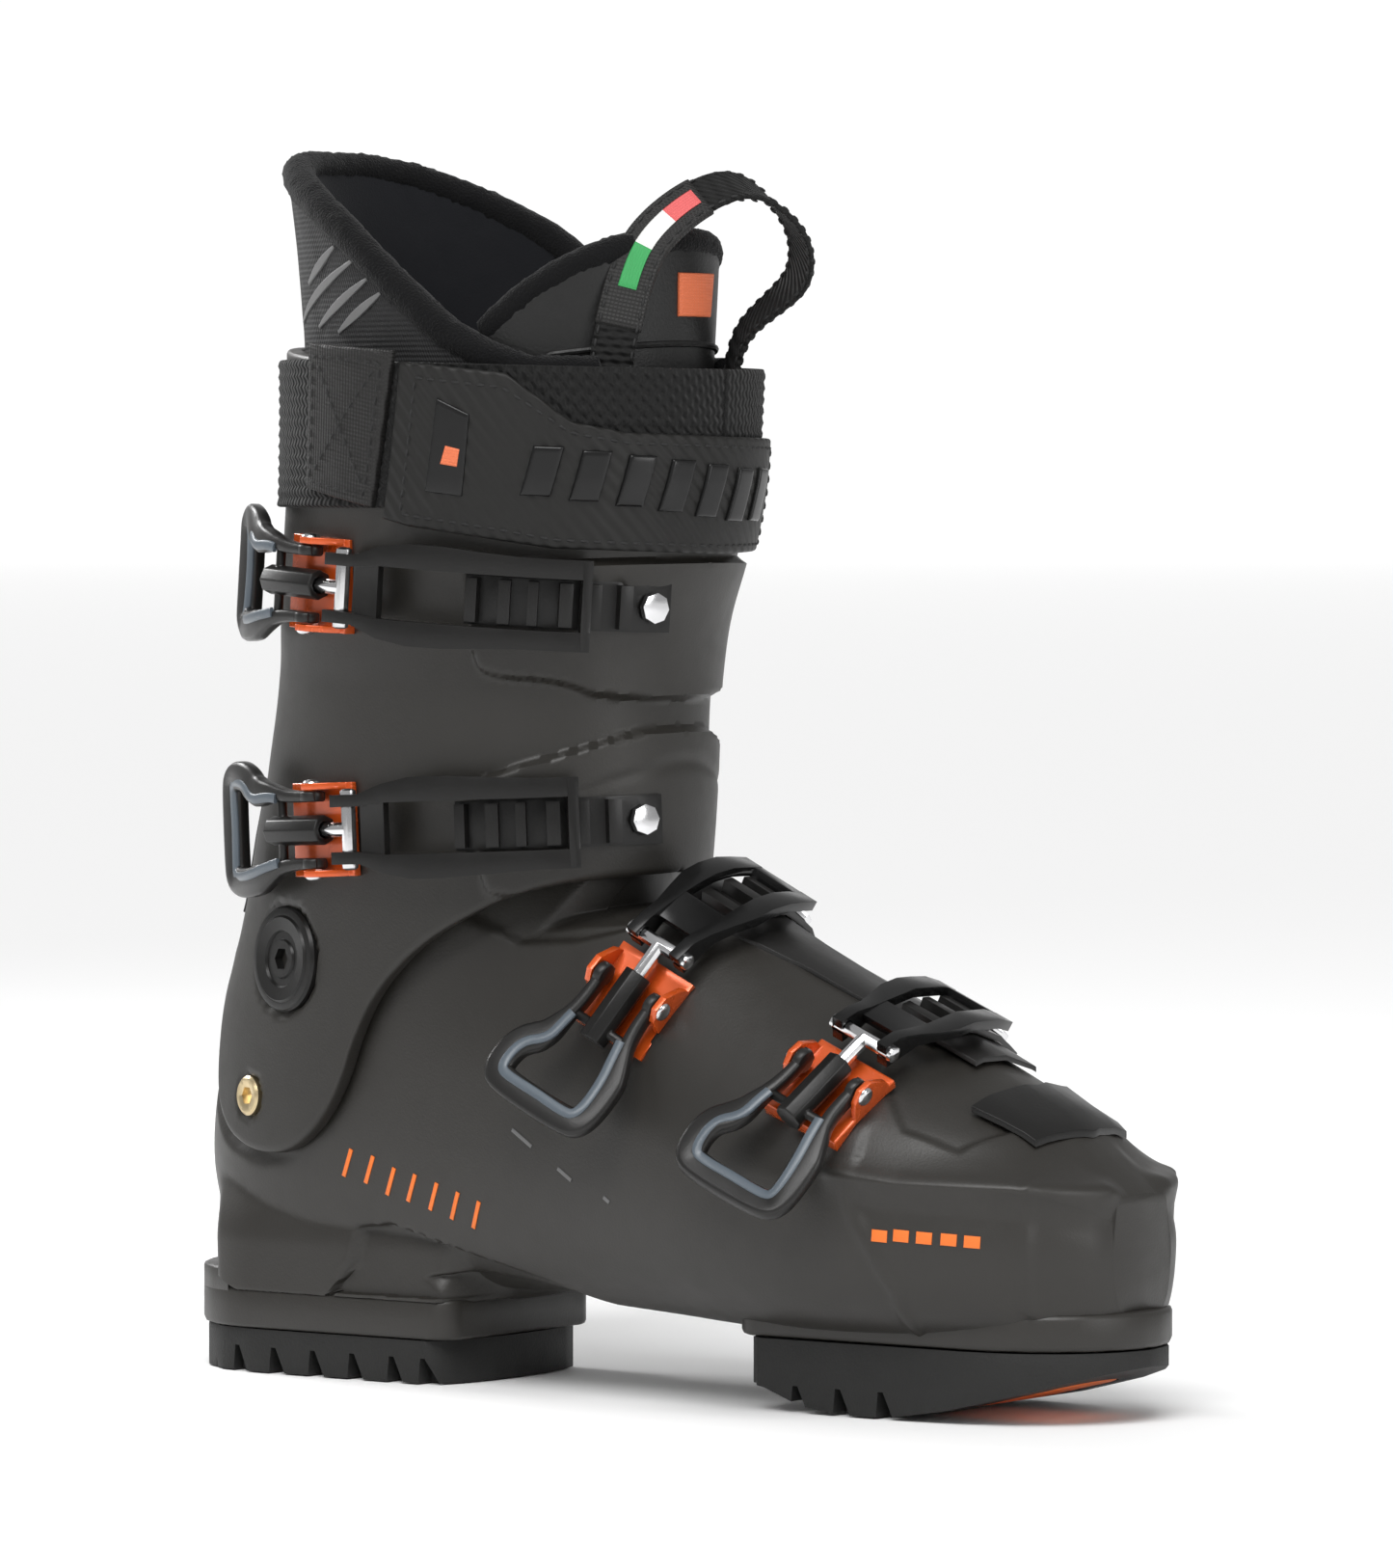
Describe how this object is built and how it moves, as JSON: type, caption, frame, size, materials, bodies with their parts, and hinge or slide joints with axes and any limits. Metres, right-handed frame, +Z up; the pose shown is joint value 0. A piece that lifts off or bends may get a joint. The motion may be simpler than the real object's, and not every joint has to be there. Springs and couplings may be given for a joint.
{
  "type": "alpine ski boot",
  "caption": "Right-foot alpine ski boot: hinged cuff on a rigid lower shell, over-centre buckles with toothed ladders, power strap, removable liner and rubber sole pads.",
  "frame": {"origin": "on the flat bottom of the heel pad, on the centre plane, 48 mm ahead of the heel's rear edge", "axes": "+X to the toe, +Y to the inner side of the foot, +Z up"},
  "size_m": [0.315, 0.1327, 0.339],
  "materials": {
    "shell": "matte moulded polyurethane",
    "inlay": "satin blue-grey insert",
    "orange_metal": "glossy orange lacquer",
    "steel": "polished",
    "brass": "satin plated",
    "sole_rubber": "matte",
    "orange_rubber": "matte",
    "soft_plastic": "satin",
    "strap_face": "embossed, stitched",
    "webbing": "woven",
    "liner_fabric": "knit and synthetic leather",
    "foam": "felt-topped foam",
    "black_plastic": "satin gloss"
  },
  "bodies": {
    "lower_boot": {"instep_buckle_base": "orange_metal", "instep_buckle_ladder": "black_plastic", "instep_buckle_ladder_screw": "steel", "toe_buckle_base": "orange_metal", "toe_buckle_ladder": "black_plastic", "toe_buckle_ladder_screw": "steel", "lower_shell": "shell", "heel_sole_pad": "sole_rubber", "toe_sole_pad": "sole_rubber", "toe_sole_insert": "orange_rubber", "boot_board": "foam", "liner_foot": "liner_fabric", "footbed": "foam", "toe_badge": "black_plastic", "instep_flap": "soft_plastic"},
    "cuff": {"cuff_shell": "shell", "cuff_spine": "black_plastic", "ankle_pivot_outer": "black_plastic", "ankle_pivot_inner": "black_plastic", "cant_screw_outer": "brass", "cant_screw_inner": "brass", "liner_cuff": "liner_fabric", "tongue": "liner_fabric", "pull_loop": "webbing", "power_strap_band": "webbing", "power_strap_flap": "strap_face", "power_strap_patch": "strap_face", "top_cuff_buckle_base": "orange_metal", "top_cuff_buckle_ladder": "black_plastic", "top_cuff_buckle_ladder_screw": "steel", "lower_cuff_buckle_base": "orange_metal", "lower_cuff_buckle_ladder": "black_plastic", "lower_cuff_buckle_ladder_screw": "steel"},
    "top_cuff_buckle_lever": {"top_cuff_buckle_lever": "shell", "top_cuff_buckle_lever_inlay": "inlay"},
    "top_cuff_buckle_barrel": {"top_cuff_buckle_barrel": "black_plastic"},
    "top_cuff_buckle_rod": {"top_cuff_buckle_rod": "steel"},
    "top_cuff_buckle_bail": {"top_cuff_buckle_bail": "black_plastic"},
    "lower_cuff_buckle_lever": {"lower_cuff_buckle_lever": "shell", "lower_cuff_buckle_lever_inlay": "inlay"},
    "lower_cuff_buckle_barrel": {"lower_cuff_buckle_barrel": "black_plastic"},
    "lower_cuff_buckle_rod": {"lower_cuff_buckle_rod": "steel"},
    "lower_cuff_buckle_bail": {"lower_cuff_buckle_bail": "black_plastic"},
    "instep_buckle_lever": {"instep_buckle_lever": "shell", "instep_buckle_lever_inlay": "inlay"},
    "instep_buckle_barrel": {"instep_buckle_barrel": "black_plastic"},
    "instep_buckle_rod": {"instep_buckle_rod": "steel"},
    "instep_buckle_bail": {"instep_buckle_bail": "black_plastic"},
    "toe_buckle_lever": {"toe_buckle_lever": "shell", "toe_buckle_lever_inlay": "inlay"},
    "toe_buckle_barrel": {"toe_buckle_barrel": "black_plastic"},
    "toe_buckle_rod": {"toe_buckle_rod": "steel"},
    "toe_buckle_bail": {"toe_buckle_bail": "black_plastic"}
  },
  "joints": [
    {"name": "cuff_flex", "type": "hinge", "parent": "lower_boot", "child": "cuff", "pos_m": [0.004, 0, 0.117], "axis": [0, 1, 0], "range_deg": [0, 5], "stiffness_Nm_per_rad": 160},
    {"name": "top_cuff_buckle_lever_swing", "type": "hinge", "parent": "cuff", "child": "top_cuff_buckle_lever", "pos_m": [0.02536, -0.05636, 0.222], "axis": [0.0698, 0, 0.9976], "range_deg": [0, 110]},
    {"name": "top_cuff_buckle_barrel_swing", "type": "hinge", "parent": "top_cuff_buckle_lever", "child": "top_cuff_buckle_barrel", "pos_m": [0.01276, -0.05329, 0.22288], "axis": [0.0698, 0, 0.9976], "range_deg": [-110, 0]},
    {"name": "top_cuff_buckle_micro_adjust", "type": "slide", "parent": "top_cuff_buckle_barrel", "child": "top_cuff_buckle_rod", "axis": [0.9692, -0.2366, -0.0678], "range_m": [0, 0.003]},
    {"name": "top_cuff_buckle_bail_lift", "type": "hinge", "parent": "top_cuff_buckle_rod", "child": "top_cuff_buckle_bail", "pos_m": [0.0399, -0.05991, 0.22099], "axis": [-0.0698, 0, -0.9976], "range_deg": [0, 25]},
    {"name": "lower_cuff_buckle_lever_swing", "type": "hinge", "parent": "cuff", "child": "lower_cuff_buckle_lever", "pos_m": [0.02397, -0.0526, 0.15382], "axis": [-0.0436, 0, 0.999], "range_deg": [0, 110]},
    {"name": "lower_cuff_buckle_barrel_swing", "type": "hinge", "parent": "lower_cuff_buckle_lever", "child": "lower_cuff_buckle_barrel", "pos_m": [0.01122, -0.05013, 0.15326], "axis": [-0.0436, 0, 0.999], "range_deg": [-110, 0]},
    {"name": "lower_cuff_buckle_micro_adjust", "type": "slide", "parent": "lower_cuff_buckle_barrel", "child": "lower_cuff_buckle_rod", "axis": [0.9809, -0.1899, 0.0428], "range_m": [0, 0.003]},
    {"name": "lower_cuff_buckle_bail_lift", "type": "hinge", "parent": "lower_cuff_buckle_rod", "child": "lower_cuff_buckle_bail", "pos_m": [0.03868, -0.05545, 0.15446], "axis": [0.0436, 0, -0.999], "range_deg": [0, 25]},
    {"name": "instep_buckle_lever_swing", "type": "hinge", "parent": "lower_boot", "child": "instep_buckle_lever", "pos_m": [0.12528, -0.04329, 0.11261], "axis": [-0.8988, 0, 0.4384], "range_deg": [0, 110]},
    {"name": "instep_buckle_barrel_swing", "type": "hinge", "parent": "instep_buckle_lever", "child": "instep_buckle_barrel", "pos_m": [0.12015, -0.04897, 0.1021], "axis": [-0.8988, 0, 0.4384], "range_deg": [-110, 0]},
    {"name": "instep_buckle_micro_adjust", "type": "slide", "parent": "instep_buckle_barrel", "child": "instep_buckle_rod", "axis": [0.3943, 0.4368, 0.8085], "range_m": [0, 0.003]},
    {"name": "instep_buckle_bail_lift", "type": "hinge", "parent": "instep_buckle_rod", "child": "instep_buckle_bail", "pos_m": [0.1312, -0.03673, 0.12474], "axis": [0.8988, 0, -0.4384], "range_deg": [0, 25]},
    {"name": "toe_buckle_lever_swing", "type": "hinge", "parent": "lower_boot", "child": "toe_buckle_lever", "pos_m": [0.19346, -0.04574, 0.09211], "axis": [-0.9171, 0, 0.3987], "range_deg": [0, 110]},
    {"name": "toe_buckle_barrel_swing", "type": "hinge", "parent": "toe_buckle_lever", "child": "toe_buckle_barrel", "pos_m": [0.18982, -0.05501, 0.08375], "axis": [-0.9171, 0, 0.3987], "range_deg": [-110, 0]},
    {"name": "toe_buckle_micro_adjust", "type": "slide", "parent": "toe_buckle_barrel", "child": "toe_buckle_rod", "axis": [0.2796, 0.713, 0.6431], "range_m": [0, 0.003]},
    {"name": "toe_buckle_bail_lift", "type": "hinge", "parent": "toe_buckle_rod", "child": "toe_buckle_bail", "pos_m": [0.19765, -0.03505, 0.10175], "axis": [0.9171, 0, -0.3987], "range_deg": [0, 25]}
  ],
  "couplings": [
    {"joint": "top_cuff_buckle_barrel_swing", "follows": "top_cuff_buckle_lever_swing", "ratio": -1},
    {"joint": "lower_cuff_buckle_barrel_swing", "follows": "lower_cuff_buckle_lever_swing", "ratio": -1},
    {"joint": "instep_buckle_barrel_swing", "follows": "instep_buckle_lever_swing", "ratio": -1},
    {"joint": "toe_buckle_barrel_swing", "follows": "toe_buckle_lever_swing", "ratio": -1}
  ]
}
